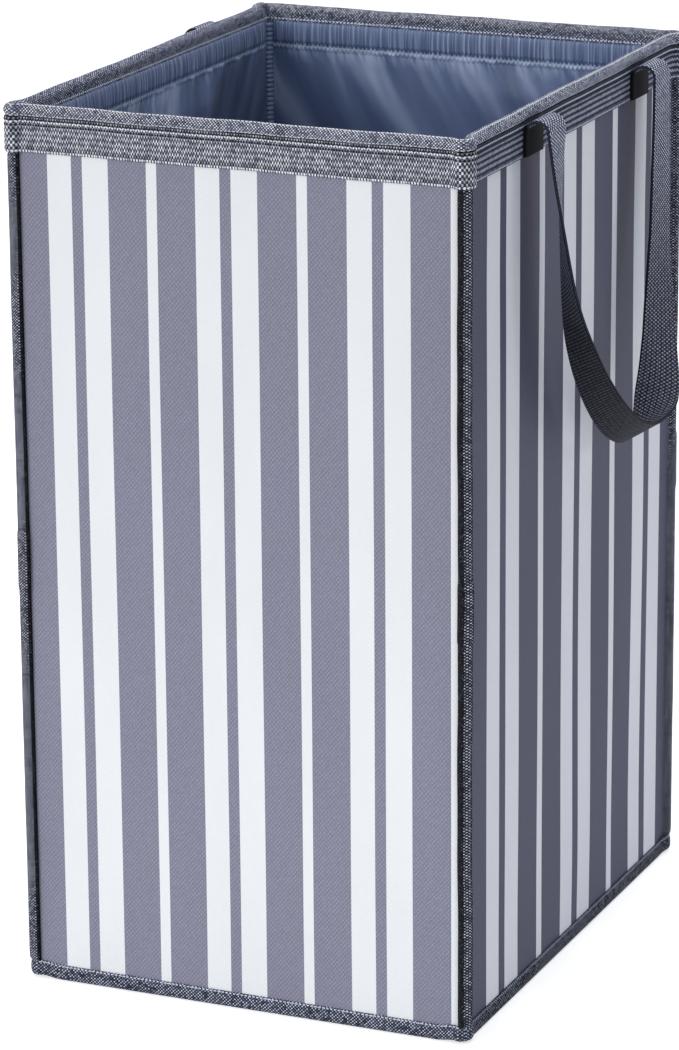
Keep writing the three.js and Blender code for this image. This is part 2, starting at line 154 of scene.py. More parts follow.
def finished(piece, materials, body=None, nodes=()):
    for material in materials if isinstance(materials, tuple) else (materials,):
        piece.data.materials.append(material)
    if body:
        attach(piece, body)
    if nodes:
        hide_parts(*nodes)
    return piece


def at(wall, u, out, z):
    """Row frame points from a place along a wall, a distance out from its fold plane, a height."""
    outward, along, _, origin = WALLS[wall]
    u, out, z = np.broadcast_arrays(np.asarray(u, float), out, z)
    x, y = (origin[i] + along[i] * u + outward[i] * out for i in (0, 1))
    return np.stack([x, y, z], -1)


def closed(face, back, uv):
    """Rings and UV map of a thin closed sheet from the grids of its two faces."""
    rings = np.concatenate([face, back[:, ::-1]], 1)
    return rings, np.concatenate([uv, uv[:, ::-1], uv[:, :1]], 1)


def wall_sheet(wall, uu, zz, out, other):
    """Rings and UV map of a thin closed sheet on a wall, whose faces lie at out and other."""
    return closed(at(wall, uu, out, zz), at(wall, uu, other, zz), np.stack([uu, zz], -1))


def smooth(x):
    t = np.clip(x, 0, 1)
    return t * t * (3 - 2 * t)


# Pieces that turn a corner: what share of their bulge they swing out by, from the front or back
# wall (0 degrees) to the side wall (90), and along each wall beside the corner

TURN_DEG = np.array([0, 8, 16, 24, 34, 46, 60, 76, 90])
TURN_SHARES = np.array([0.16, 0.42, 0.72, 0.95, 1.08, 1.12, 1.12, 1.06, 0.98])
FACE_MM, FACE_SHARES = np.array([0, 1.5, 3, 5]), np.array([0.16, 0.07, 0.02, 0])
SIDE_MM = np.array([0, 2, 4, 6, 8, 10, 13])
SIDE_SHARES = np.array([0.98, 0.84, 0.6, 0.34, 0.16, 0.06, 0])
FAR_STEP, FAR_END = 7, 14
NEAR_CORNER_MM = [11, 9, 7.5, 6, 5, 4, 3.2, 2.4, 1.6, 0.8]
TURN_STEPS = 24
LIFT_REACH = 15
SWAY_BOTTOM, SWAY_RISE = 300, 50


def stations(half_a, half_b, part):
    """Places along a turn: (kind, distance or angle). Distances are from the fold line."""
    far_a, far_b = (
        list(np.linspace(half, FAR_END, int(half / FAR_STEP))) for half in (half_a, half_b)
    )
    before = [("a", x) for x in far_a + NEAR_CORNER_MM]
    turn = [("t", x) for x in np.linspace(0, 90, TURN_STEPS + 1)]
    after = [("b", x) for x in (far_b + NEAR_CORNER_MM)[::-1]]
    middle = len(before) + TURN_STEPS // 2
    every = before + turn + after
    if part == "before":
        return every[: middle + 1], middle
    if part == "after":
        return every[middle:], 0
    return every, middle


def turned(corner, places, out, bulge, spread):
    """Plan points (stations, profile, 2) of profile points at out, bulging at the corner."""
    a, b, fold = CORNERS[corner]
    out_a, along_a = np.array(WALLS[a][0], float), np.array(WALLS[a][1], float)
    out_b, along_b = np.array(WALLS[b][0], float), np.array(WALLS[b][1], float)
    rows = []
    for kind, x in places:
        if kind == "t":
            share = np.interp(x if a in FRONT_AND_BACK else 90 - x, TURN_DEG, TURN_SHARES)
            angle = math.radians(x)
            way = out_a * math.cos(angle) + out_b * math.sin(angle)
            rows.append((out + bulge * share)[:, None] * way)
        else:
            if (a if kind == "a" else b) in FRONT_AND_BACK:
                share = np.interp(x, FACE_MM * spread, FACE_SHARES)
            else:
                share = np.interp(x, SIDE_MM, SIDE_SHARES)
            way, along = (out_a, -along_a) if kind == "a" else (out_b, along_b)
            rows.append((out + bulge * share)[:, None] * way + along * x)
    return np.array(rows) + np.array(fold)


def strip(name, corner, profile, part="all", wobble=0.0, spread=1.0, lift=0.0):
    """A piece with a closed profile [out, z, bulge, v] run from one wall's middle, round the
    corner, to the middle of the next wall. Near the corner it swings out over a stretch that
    spread lengthens, and rises by lift. The turn has the front wall's material."""
    a, b, _ = CORNERS[corner]
    half_a, half_b = WALLS[a][2], WALLS[b][2]
    places, middle = stations(half_a, half_b, part)
    profile = np.asarray(profile, float)
    plan = turned(corner, places, profile[:, 0], profile[:, 2], spread)
    away = np.array([0.0 if kind == "t" else x for kind, x in places])
    rise = lift * (1 - smooth(away / LIFT_REACH))[:, None]
    height = np.broadcast_to(profile[:, 1], plan.shape[:2]) + rise
    rings = np.concatenate([plan, height[..., None]], -1)
    if wobble:
        x, y = rings[..., 0], rings[..., 1]
        sway = np.sin(x * 0.047 + y * 0.031 + 1.3) + 0.6 * np.sin(x * 0.11 - y * 0.093)
        rings[..., 2] += wobble * sway * smooth((rings[..., 2] - SWAY_BOTTOM) / SWAY_RISE)
    turn = TURN_RADIUS * math.pi / 2
    u = [half_a + {"a": -x, "t": turn * x / 90, "b": turn + x}[kind] for kind, x in places]
    v = np.append(profile[:, 3], profile[0, -1])
    uv = np.stack(np.broadcast_arrays(np.array(u)[:, None], v), -1)
    next_uv = uv - (half_a + turn + half_b, 0)
    walls = {"a": a, "b": b, "t": "front"}
    # Slot 1 takes the side walls' material, which for the band and hem is a darker copy: painted
    # shade.
    slots = [int(walls[kind] not in FRONT_AND_BACK) for kind, _ in places[:-1]]
    return mesh(name, rings, uv, second=next_uv, split=middle, slots=slots)


def bend(piece, corner):
    """Bakes the placement of a piece that turns a corner into its mesh."""
    a, b, fold = CORNERS[corner]
    way = np.array(WALLS[a][1], float) + np.array(WALLS[b][1], float)
    way /= np.linalg.norm(way)
    if corner == "back_left":
        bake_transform(piece)
    elif corner == "front_left":
        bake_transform(piece)
    else:
        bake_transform(piece)
    return piece


# Materials

# On the strap: the length of its ends, painted black as the shadow under its bends, how much
# higher v is on its under face, and half the width of its light weave
SHADOW_BLACK_LEG, UNDERSIDE, LIGHT_HALF = 21.0, 200.0, 15.3
# The stitches' pitch along rim and lining
PUCKER_PITCH = 3.4
# That of the stitches inside a corner
INNER_PITCH = 3.6


def added(tree, kind, *values):
    """A new node whose first inputs are linked to, or set to, the values."""
    node = tree.nodes.new(kind)
    for target, value in zip(node.inputs, values):
        if isinstance(value, bpy.types.NodeSocket):
            tree.links.new(value, target)
        else:
            target.default_value = value
    return node


def cleared(owner):
    """The empty node tree of a material or world."""
    owner.use_nodes = True
    owner.node_tree.nodes.clear()
    return owner.node_tree


class Cloth:
    """A node material drawn on the UV map in millimetres: u runs along a piece, v across it."""

    def __init__(self, name):
        self.material = bpy.data.materials.new(name)
        self.tree = cleared(self.material)
        self.shader = self.node("ShaderNodeBsdfPrincipled")
        self.node("ShaderNodeOutputMaterial", self.shader.outputs[0])
        place = self.node("ShaderNodeUVMap")
        place.uv_map = "Cloth"
        split = self.node("ShaderNodeSeparateXYZ", place.outputs[0])
        self.u, self.v = split.outputs[0], split.outputs[1]

    def node(self, kind, *values):
        return added(self.tree, kind, *values)

    def math(self, operation, a, b=0.0, clamp=False):
        node = self.node("ShaderNodeMath", a, b)
        node.operation, node.use_clamp = operation, clamp
        return node.outputs[0]

    def product(self, a, b):
        return self.math("MULTIPLY", a, b)

    def over(self, a, b):
        return self.math("DIVIDE", a, b)

    def total(self, *parts, start=0.0):
        """The sum of (value, weight) pairs, from start on."""
        result = start
        for value, weight in parts:
            result = self.math("ADD", result, self.product(value, weight))
        return result

    def distance(self, x, place):
        return self.math("ABSOLUTE", self.math("SUBTRACT", x, place))

    def wave(self, x, pitch, shift=0.0):
        """0 to 1, once in each pitch."""
        phase = self.math("ADD", self.product(x, 2 * math.pi / pitch), shift)
        return self.product(self.math("ADD", self.math("SINE", phase), 1.0), 0.5)

    def puckers(self, pitch):
        """0 at each stitch along u and 1 between two of them."""
        return self.math("ABSOLUTE", self.math("SINE", self.product(self.u, math.pi / pitch)))

    def slanted(self, rise):
        return self.math("ADD", self.u, self.product(self.v, rise))

    def noise(self, across, up, detail=2.0, slant=0.0):
        x, y = self.over(self.slanted(slant), across), self.over(self.v, up)
        place = self.node("ShaderNodeCombineXYZ", x, y)
        node = self.node("ShaderNodeTexNoise", place.outputs[0])
        node.inputs["Scale"].default_value = 1.0
        node.inputs["Detail"].default_value = detail
        return node.outputs[0]

    def cells(self, x, y):
        """A random value for each unit cell of x and y."""
        cell = self.node("ShaderNodeCombineXYZ", self.math("FLOOR", x), self.math("FLOOR", y))
        node = self.node("ShaderNodeTexWhiteNoise", cell.outputs[0])
        node.noise_dimensions = "2D"
        return node.outputs[0]

    def crisp(self, value, low, high):
        """0 at low and 1 at high, with a straight rise between them."""
        return self.node("ShaderNodeMapRange", value, low, high).outputs[0]

    def diamonds(self, along, across, uneven):
        """Light dots on a dark ground, every second row shifted by half a pitch, 0 to 1."""
        x, y = self.over(self.u, along), self.over(self.v, across)
        a, b = self.math("ADD", x, y), self.math("SUBTRACT", x, y)
        both = self.product(self.wave(a, 1.0), self.wave(b, 1.0))
        share = self.total((self.cells(a, b), uneven), start=1.0 - uneven)
        return self.product(self.crisp(both, 0.15, 0.5), share)

    def ramp(self, value, stops, interpolation="LINEAR"):
        node = self.node("ShaderNodeValToRGB", value)
        node.color_ramp.interpolation = interpolation
        elements = node.color_ramp.elements
        while len(elements) < len(stops):
            elements.new(1.0)
        for element, (position, colour) in zip(elements, stops):
            element.position = position
            element.color = (*colour, 1.0) if isinstance(colour, tuple) else (*[colour] * 3, 1.0)
        return node.outputs[0]

    def mix(self, share, a, b, blend="MIX"):
        node = self.node("ShaderNodeMix", share)
        node.data_type, node.blend_type = "RGBA", blend
        for source, target in ((a, node.inputs[6]), (b, node.inputs[7])):
            if isinstance(source, tuple):
                target.default_value = (*source, 1.0)
            else:
                self.tree.links.new(source, target)
        return node.outputs[2]

    def choice(self, share, a, b):
        """The plain value a for share 0 and b for share 1."""
        node = self.node("ShaderNodeMix", share)
        self.tree.links.new(a, node.inputs[2])
        self.tree.links.new(b, node.inputs[3])
        return node.outputs[0]

    def shaded(self, colour, shade):
        return self.mix(1.0, colour, shade, "MULTIPLY")

    def line(self, x, place, half):
        """1 on a line at place, fading out at half its width to each side."""
        return self.math("SUBTRACT", 1.0, self.over(self.distance(x, place), half), clamp=True)

    def dashes(self, x, pitch, share):
        return self.math("LESS_THAN", self.math("FRACT", self.over(x, pitch)), share)

    def stitches(self, place, half, pitch, share):
        """A row of stitches that runs along u, at place."""
        return self.product(self.line(self.v, place, half), self.dashes(self.u, pitch, share))

    def finish(self, colour, height, depth, roughness=0.85, sheen=0.0, specular=0.25):
        """depth is the bump's depth in millimetres for a height from 0 to 1."""
        self.tree.links.new(colour, self.shader.inputs["Base Color"])
        values = {"Roughness": roughness, "Specular IOR Level": specular, "Sheen Weight": sheen}
        for title, value in {**values, "Sheen Roughness": 0.4}.items():
            self.shader.inputs[title].default_value = value
        bump = self.node("ShaderNodeBump", 1.0, depth * MM)
        self.tree.links.new(height, bump.inputs["Height"])
        self.tree.links.new(bump.outputs[0], self.shader.inputs["Normal"])
        return self.material


def linear(*rgb):
    """Linear colour from sRGB numbers, 0 to 255."""
    return tuple(((x / 255 + 0.055) / 1.055) ** 2.4 if x > 10 else x / 255 / 12.92 for x in rgb)


def striped(name, first, period, edges, grey, white):
    """Printed stripes: white between each pair of edges, which are counted from first."""
    m = Cloth(name)
    place = m.math("FRACT", m.over(m.math("SUBTRACT", m.u, first), period))
    stops = [(0.0, 1.0)] + [(edge / period, float(i % 2)) for i, edge in enumerate(edges[1:])]
    stripes = m.ramp(place, stops, "CONSTANT")
    twill = m.diamonds(3.0, 3.4, 0.3)
    thread = m.cells(m.over(m.slanted(-1.0), 1.6), m.over(m.slanted(1.0), 2.0))
    weave = m.total((twill, 0.75), (thread, 0.25))
    grey_cloth = m.mix(weave, linear(*[x * 0.78 for x in grey]), linear(*grey))
    white_cloth = m.mix(weave, linear(*[x * 0.98 for x in white]), linear(*white))
    cloudy = m.ramp(m.noise(60, 140, 3.0), [(0.3, 0.955), (0.7, 1.0)])
    # Painted shade: the cloth's colour is darker towards the top, down to 0.88 of it.
    painted_top_shade = m.total((m.crisp(m.v, HEIGHT, 150), 0.12), start=0.88)
    colour = m.shaded(m.shaded(m.mix(stripes, grey_cloth, white_cloth), cloudy), painted_top_shade)
    return m.finish(colour, weave, 0.1, roughness=0.62, sheen=0.06, specular=0.35)


def satin(name, lean):
    """Slate satin. Painted sheen runs down it in soft streaks that lean, and in fine ridges above
    the puckered stitch line, with painted highlights just below that line. Painted shade makes it
    darker towards one end of each wall and further down."""
    m = Cloth(name)

    def above(reach):
        return m.crisp(m.v, STITCH_Z - reach, STITCH_Z)

    # Painted highlights: short light streaks just below the stitch line.
    pleats = m.product(m.crisp(m.noise(7, 70, 0.0, 0.7 * lean), 0.4, 0.7), above(45))
    painted_pucker_light = m.product(m.crisp(m.noise(3.2, 16, 0.0, 0.5 * lean), 0.35, 0.6), above(14))
    # Painted sheen and shade: soft light streaks that lean, lighter towards the stitch line and
    # darker towards the end of the wall where u is low.
    hang = m.total(
        (m.crisp(m.noise(23, 130, 1.0, lean), 0.36, 0.76), 0.42),
        (m.crisp(m.noise(75, 160, 0.0, 0.4 * lean), 0.35, 0.65), 0.12),
        (m.crisp(m.u, -150, 20), 0.3),
        (pleats, 0.22),
        (painted_pucker_light, 0.3),
        (above(160), 0.04),
        start=-0.12,
    )
    # Painted sheen on the ridges of the gathered channel.
    painted_channel_sheen = m.total((m.crisp(m.noise(2.1, 90, 1.0), 0.42, 0.68), 0.5), start=0.3)
    below = m.math("LESS_THAN", m.v, STITCH_Z)
    edge = m.total((m.puckers(PUCKER_PITCH), 1.4), start=m.v)
    # The stitch line: a light line of thread and painted highlight on its puckers, between dark
    # lines of painted shade.
    tone = m.total(
        (m.line(edge, STITCH_Z + 0.4, 1.7), 0.7),
        (m.line(edge, STITCH_Z + 3.4, 1.6), -0.3),
        (m.line(edge, STITCH_Z - 2.4, 1.2), -0.2),
        start=m.choice(below, painted_channel_sheen, hang),
    )
    tones = (0.0, linear(51, 66, 99)), (0.45, linear(93, 111, 149)), (1.0, linear(178, 192, 220))
    thread = m.product(m.wave(m.v, 1.2), 0.1)
    colour = m.mix(thread, m.ramp(tone, tones), linear(150, 164, 196))
    return m.finish(colour, tone, 0.8, roughness=0.5, sheen=0.1, specular=0.4)


def puckered_seam():
    """The light seam allowance inside a corner, puckered by its stitches. Painted shade darkens it
    at each stitch, and painted light brightens it between them.
    """
    m = Cloth("seam_satin")
    pucker = m.puckers(INNER_PITCH)
    colour = m.ramp(pucker, [(0.0, linear(78, 94, 126)), (0.5, linear(124, 140, 172))])
    return m.finish(colour, pucker, 0.6, roughness=0.5, specular=0.4)


def heather_band(name, weights, tones):
    """Ribbed webbing flecked by its warp. weights are those of the warp, the ribs and the flecks,
    and tones its colours from dark to light."""
    m = Cloth(name)
    rib_pitch = BAND_HEIGHT / BAND_RIBS
    half_ribs = m.over(m.v, rib_pitch / 2)
    warp = m.crisp(m.wave(m.math("ADD", m.u, m.math("FLOOR", half_ribs)), 2.0), 0.25, 0.75)
    rib = m.crisp(m.wave(m.v, rib_pitch, -math.pi / 2), 0.1, 0.7)
    flecks = m.cells(m.over(m.u, 1.3), half_ribs)
    arch = m.line(m.math("SUBTRACT", m.v, m.wave(m.u, PUCKER_PITCH)), 21.2, 0.9)
    # Dark lines of painted shade in the grooves, one right under the roll.
    groove_shade_lines = ((22.9, 0.7), (19.2, 0.5), (2.4, 0.25))
    tone = m.total(
        (arch, 0.6),
        (m.stitches(1.0, 1.1, 2.4, 0.55), 0.6),
        *zip((warp, rib, flecks), weights),
        *((m.line(m.v, place, 0.9), -depth) for place, depth in groove_shade_lines),
    )
    stops = [(place, linear(*rgb)) for place, rgb in zip((0.05, 0.4, 0.7, 1.0), tones)]
    return m.finish(m.ramp(tone, stops), m.total((warp, 0.4), (rib, 0.6), (arch, 1.0)), 0.35)


def twill_binding(name, tones, along, across, stitches, groove=None):
    """Twill tape in dark, middle and light tones, with rows of stitches at the places given and,
    where groove is given, a dark line of painted shade in a groove."""
    m = Cloth(name)
    dots = m.diamonds(along, across, 0.75)
    fleck = m.cells(m.over(m.slanted(0.7), 3.1), m.over(m.v, 2.2))
    rows = [(m.stitches(place, 1.0, 3.0, 0.6), 0.9) for place in stitches]
    tone = m.total((dots, 0.95), (fleck, 0.16), *rows)
    if groove:
        # Painted shade: a dark line in the groove.
        tone = m.total((m.line(m.v, groove, 0.9), -1.0), start=tone)
    stops = [(place, linear(*rgb)) for place, rgb in zip((0.0, 0.35, 0.9), tones)]
    return m.finish(m.ramp(tone, stops), dots, 0.3)


def seam_binding(name, shade_strip, line, teeth=None):
    """Tape over a corner seam: twill with a ragged black strip of painted shade on one side of the
    bead, a black stitch line darkened further as painted shade and, where teeth are given, the
    light toothed edge of the tape. All three are places across the seam."""
    m = Cloth(name)
    ragged = m.total((m.cells(m.over(m.u, 1.3), m.over(m.v, 1.6)), 0.9), start=m.v)
    low, high = shade_strip
    inside = m.math("LESS_THAN", m.distance(ragged, (low + high) / 2), (high - low) / 2)
    tone = m.total(
        (m.diamonds(2.1, 2.9, 0.6), 1.05),
        (inside, -0.62),
        (m.line(m.v, line, 1.0), -1.3),
        start=0.05,
    )
    if teeth:
        tone = m.total((m.stitches(teeth, 1.2, 2.6, 0.5), 0.8), start=tone)
    stops = [(0.0, linear(8, 8, 13)), (0.4, linear(62, 66, 86)), (1.0, linear(228, 233, 252))]
    return m.finish(m.ramp(tone, stops), tone, 0.3)


def handle_webbing():
    """Dark webbing, painted black as the shadow under its bends where it is sewn down, and painted
    darker towards the middle of the loop as shade, most on its under face. u is the distance from
    its nearer end, and v is raised by UNDERSIDE on its under face."""
    m = Cloth("handle_webbing")
    under = m.math("GREATER_THAN", m.v, UNDERSIDE / 2)
    across = m.total((under, -UNDERSIDE), start=m.v)
    ribs = m.crisp(m.wave(m.v, 4.2), 0.2, 0.8)
    inside = m.math("LESS_THAN", m.distance(across, 0.0), LIGHT_HALF)
    tone = m.product(m.total((m.diamonds(2.8, 4.2, 0.4), 0.85), (ribs, 0.12)), inside)
    stops = [(0.0, linear(33, 37, 56)), (0.4, linear(128, 136, 178)), (0.9, linear(250, 253, 255))]
    # Painted shade: the loop darkens towards its middle, most on its under face.
    loop_shade_depth = m.total((under, 0.3), start=0.56)
    painted_loop_shade = m.math("SUBTRACT", 1.0, m.product(m.crisp(m.u, 45, 190), loop_shade_depth))
    colour = m.shaded(m.ramp(tone, stops), painted_loop_shade)
    # Painted shadow: the ends sewn down under the bends are near black.
    painted_shadow_black = m.mix(tone, linear(5, 5, 8), linear(38, 39, 48))
    colour = m.mix(m.math("LESS_THAN", m.u, SHADOW_BLACK_LEG), colour, painted_shadow_black)
    return m.finish(colour, tone, 0.4, roughness=0.8)


# Tabs under the strap's bends, painted near black as the shadow of the bends; the row is stitching.
def shadowed_tab_webbing():
    m = Cloth("shadowed_tab_webbing")
    weft = m.wave(m.v, 1.9)
    row = m.product(m.line(m.distance(m.u, 0.0), 14.0, 0.7), m.dashes(m.v, 2.8, 0.6))
    tone = m.total((weft, 0.5), (row, 0.6))
    colour = m.ramp(tone, [(0.0, linear(5, 5, 8)), (1.0, linear(46, 47, 56))])
    return m.finish(colour, weft, 0.4, roughness=0.8)


def plain_cloth():
    m = Cloth("base_cloth")
    weave = m.product(m.wave(m.u, 1.2), m.wave(m.v, 1.2))
    colour = m.mix(weave, linear(74, 78, 96), linear(98, 102, 122))
    return m.finish(colour, weave, 0.12, specular=0.3)


def steel():
    material = bpy.data.materials.new("spring_steel")
    tree = cleared(material)
    noise = added(tree, "ShaderNodeTexNoise")
    noise.inputs["Scale"].default_value = 900.0
    ramp = added(tree, "ShaderNodeValToRGB", noise.outputs[0])
    ramp.color_ramp.elements[0].color = (0.42, 0.43, 0.45, 1)
    ramp.color_ramp.elements[1].color = (0.62, 0.63, 0.65, 1)
    shader = added(tree, "ShaderNodeBsdfPrincipled", ramp.outputs[0], 1.0, 0.35)
    added(tree, "ShaderNodeOutputMaterial", shader.outputs[0])
    return material


FRONT_EDGES = (0, 18.0, 26.5, 46.1, 74.8, 82.5)
SIDE_EDGES = (0, 23.6, 34.7, 60.3, 97.2, 107.7)
FRONT_PRINT = striped(
    "striped_twill_front", -29.2, 111.5, FRONT_EDGES, (161, 161, 183), (250, 253, 255)
)
# The side walls' stripes are coloured darker than those of the front and back: painted shade of the
# side walls.
SHADED_SIDE_PRINT = striped(
    "striped_twill_side_painted_shade", -20.8, 145.2, SIDE_EDGES, (76, 78, 109), (239, 241, 249)
)
# Which way along its wall the lining's folds lean
FOLDS_LEAN = {"front": 1, "right": -1, "back": -1, "left": 1}
SATIN = {side: satin(f"{side}_satin", 0.6 * lean) for side, lean in FOLDS_LEAN.items()}
INNER_SEAM = puckered_seam()

# Each pair of bindings is that of the front and back walls, and that of the side walls. The side
# walls' band and hem are darker copies: painted shade.
BAND_TONES = ((12, 13, 20), (66, 68, 82), (132, 135, 152), (250, 252, 255))
SHADED_SIDE_BAND_TONES = ((8, 10, 18), (47, 50, 67), (93, 99, 122), (206, 212, 232))
BANDS = (
    heather_band("heather_webbing", (0.6, 0.14, 0.3), BAND_TONES),
    heather_band("heather_webbing_side_painted_shade", (0.4, 0.46, 0.16), SHADED_SIDE_BAND_TONES),
)
ROLL_STITCHES, ROLL_GROOVE = (12.6, 3.4, 24.4), 1.5
RIM_TONES = ((18, 20, 34), (122, 128, 157), (255, 255, 255))
SIDE_RIM_TONES = ((33, 37, 58), (125, 133, 168), (252, 254, 255))
RIMS = (
    twill_binding("rim_twill", RIM_TONES, 2.3, 2.4, ROLL_STITCHES, ROLL_GROOVE),
    twill_binding("rim_twill_side", SIDE_RIM_TONES, 3.4, 1.9, ROLL_STITCHES, ROLL_GROOVE),
)
LEAF_TONES = ((32, 36, 54), (94, 101, 128), (226, 231, 247))
LEAF = twill_binding("leaf_twill", LEAF_TONES, 2.8, 2.4, (1.6,))
HEM_STITCHES = (26.4,)
HEM_TONES = ((10, 12, 22), (74, 80, 102), (226, 232, 252))
SHADED_SIDE_HEM_TONES = ((6, 7, 13), (40, 43, 58), (158, 164, 186))
HEMS = (
    twill_binding("hem_twill", HEM_TONES, 2.6, 2.5, HEM_STITCHES),
    twill_binding("hem_twill_side_painted_shade", SHADED_SIDE_HEM_TONES, 2.9, 3.0, HEM_STITCHES),
)
# The strip of painted shade, the stitch line and the toothed edge of the tape, which not every
# corner shows
TOOTHED, PLAIN = ((4.0, 14.8), 19.7, 21.8), ((26.2, 33.0), 25.0)
TAPES = {"front_right": TOOTHED, "back_right": PLAIN, "back_left": TOOTHED, "front_left": PLAIN}
SEAM = {corner: seam_binding(f"seam_tape_{corner}", *tape) for corner, tape in TAPES.items()}
STRAP = handle_webbing()
TAB = shadowed_tab_webbing()
BASE = plain_cloth()
STEEL = steel()

for side in WALLS:
    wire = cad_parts[f"{side}_wire"]
    wire.data.materials.clear()
    wire.data.materials.append(STEEL)


# Rim, band, leaf and hem, each in one piece round a corner

BAND_RIB_DEPTH = 0.45
HEM_OUTLINE = (
    (0.2, 9.0), (0.2, 1.4), (1.2, 0.0), (4.5, 0.0), (6.6, 0.0), (7.7, 0.5), (8.4, 1.9), (8.6, 4.0),
    (8.6, 7.0), (8.3, 9.2), (7.5, 10.6), (6.1, 11.2), (6.0, 3.0), (4.5, 3.0), (1.2, 3.0), (1.2, 9.0),
)
# Points of the hem up to here stay in place at a corner
HEM_FLAT_OUT = 1.2


def roll_profile(steps=20):
    rows = []
    for i in range(steps):
        turn = 2 * math.pi * i / steps
        angle = turn - math.pi / 2
        out = ROLL_CENTRE + ROLL_RADIUS * math.cos(angle)
        z = ROLL_Z + ROLL_RADIUS * math.sin(angle)
        rows.append([out, z, ROLL_BULGE, ROLL_RADIUS * turn, ROLL_RADIUS * 2 * math.pi])
    return rows


def leaf_profile():
    side = ((0.0, LEAF_BOTTOM, 0.0), (0.1, LEAF_BOTTOM + 3, 1.0), (0.3, ROLL_Z, LEAF_BULGE))
    rows = []
    for face, places in ((LEAF_IN, side), (LEAF_OUT, side[::-1])):
        rows += [[face + out, z, bulge, z - LEAF_BOTTOM] for out, z, bulge in places]
    return rows


def band_profile(steps=6):
    rows = [[BAND_IN, BAND_TOP, BAND_BULGE, BAND_HEIGHT], [BAND_IN, BAND_BOTTOM, BAND_BULGE, 0]]
    for i in range(BAND_RIBS * steps + 1):
        up = BAND_HEIGHT * i / (BAND_RIBS * steps)
        groove = BAND_RIB_DEPTH * (1 - abs(math.sin(math.pi * i / steps)))
        rows.append([BAND_OUT - groove, BAND_BOTTOM + up, BAND_BULGE, up])
    return rows


def hem_profile():
    rows, run = [], 0.0
    for i, (out, z) in enumerate(HEM_OUTLINE):
        if i:
            run += math.dist(HEM_OUTLINE[i], HEM_OUTLINE[i - 1])
        rows.append([out, z, HEM_BULGE if out > HEM_FLAT_OUT else 0.0, run])
    return rows


def bound_edge(title, profile, materials, slot, node, **shape):
    """One piece round each corner. The back left corner opens as the hamper folds, so the back
    wall has a piece of its own there. shape is strip's wobble, spread and lift."""
    for corner, (a, b, _) in CORNERS.items():
        if corner == "back_left":
            flat = [[out, z, 0.0, *v] for out, z, _, *v in profile]
            piece = strip(f"{title}_back_end", corner, flat, "before", **shape)
            finished(piece, materials, "back_wall", (f"back_{node}",))
            piece = strip(f"{title}_{corner}", corner, profile, "after", **shape)
            bend(piece, corner)
            finished(piece, materials, None, (f"left_{node}",))
        else:
            piece = strip(f"{title}_{corner}", corner, profile, "all", **shape)
            bend(piece, corner)
            finished(piece, materials, None, (f"{a}_{node}", f"{b}_{node}"))


bound_edge("rim_roll", roll_profile(), RIMS, "rim_binding", "rim", wobble=0.25)
bound_edge("rim_leaf", leaf_profile(), (LEAF, LEAF), "rim_binding", "rim")
bound_edge("band", band_profile(), BANDS, "band_webbing", "band", wobble=0.15)
bound_edge("hem", hem_profile(), HEMS, "edge_binding", "hem", spread=4.0, lift=1.6)


# Striped cloth, one panel on each wall, and the turned edges that are sewn into the seams

UNEVEN = 0.45
EDGE_STEPS = np.array([-SET_BACK, -1.2, 0.0, 1.0, 1.9])
EDGE_DIP = np.array([0.0, 0.05, 0.15, 0.35, 0.6])
EDGE_THICKNESS = 0.9
EDGE_BOTTOM = PANEL_BOTTOM + 3.5


def print_of(side):
    return FRONT_PRINT if side in FRONT_AND_BACK else SHADED_SIDE_PRINT


def ease(uu, zz, half, phase):
    """Slight unevenness of cloth stretched over a wire."""
    fade = smooth((half - np.abs(uu)) / 60) * smooth(zz / 80) * smooth((600 - zz) / 80)
    wave = np.sin(uu * 0.021 + phase) * np.sin(zz * 0.012 + 0.7 * phase)
    return fade * (0.8 * wave + 0.5 * np.sin(uu * 0.035 - zz * 0.017 + phase))


def striped_panel(side, phase):
    half = WALLS[side][2]
    span = half - SET_BACK
    us = np.linspace(-span, span, int(span / 5))
    zs = np.concatenate([np.linspace(PANEL_BOTTOM, 600, 60), [610, 620, BAND_TOP]])
    uu, zz = np.meshgrid(us, zs, indexing="ij")
    uneven = UNEVEN * ease(uu, zz, half, phase)
    rings, uv = wall_sheet(side, uu, zz, PANEL_OUT + uneven, PANEL_IN + uneven)
    piece = mesh(f"{side}_cloth", rings, uv)
    return finished(piece, print_of(side), f"{side}_wall", (f"{side}_panel",))


def turned_edge(side, corner, sign):
    """The edge of a wall's cloth that turns into a corner's seam. sign tells the wall's end."""
    us = sign * (WALLS[side][2] + EDGE_STEPS)
    zs = np.linspace(EDGE_BOTTOM, BAND_TOP, 40)
    uu, zz = np.meshgrid(us, zs, indexing="ij")
    out = (PANEL_OUT - EDGE_DIP)[:, None]
    rings, uv = wall_sheet(side, uu, zz, out, out - EDGE_THICKNESS)
    piece = mesh(f"{side}_cloth_edge_{corner}", rings, uv)
    if corner == "back_left":
        bend(piece, corner)
    elif sign > 0:
        bend(piece, corner)
    else:
        bend(piece, corner)
    return finished(piece, print_of(side))


panels = {side: striped_panel(side, 1.7 * index) for index, side in enumerate(WALLS)}
edges = {side: [] for side in WALLS}
for corner, (a, b, _) in CORNERS.items():
    # The back wall's cloth has no turned edge where the ring of walls opens
    if corner != "back_left":
        edges[a].append(turned_edge(a, corner, 1))
    edges[b].append(turned_edge(b, corner, -1))


# Satin lining: gathered channel, puckered stitch line, soft hanging folds

MOST_SWELL = 6.5
FIRST_SEED = 11
PLEATS = {
    "pitch": 5,
    "lean": (-0.15, 0.9),
    "width": (2.0, 4.5),
    "length": (10, 34),
    "height": (0.5, 1.3),
    "widening": 22,
    "power": 1,
}
FOLDS = {
    "pitch": 18,
    "lean": (0.35, 0.8),
    "width": (11, 24),
    "length": (90, 260),
    "height": (1.6, 3.2),
    "widening": 160,
    "power": 2,
}


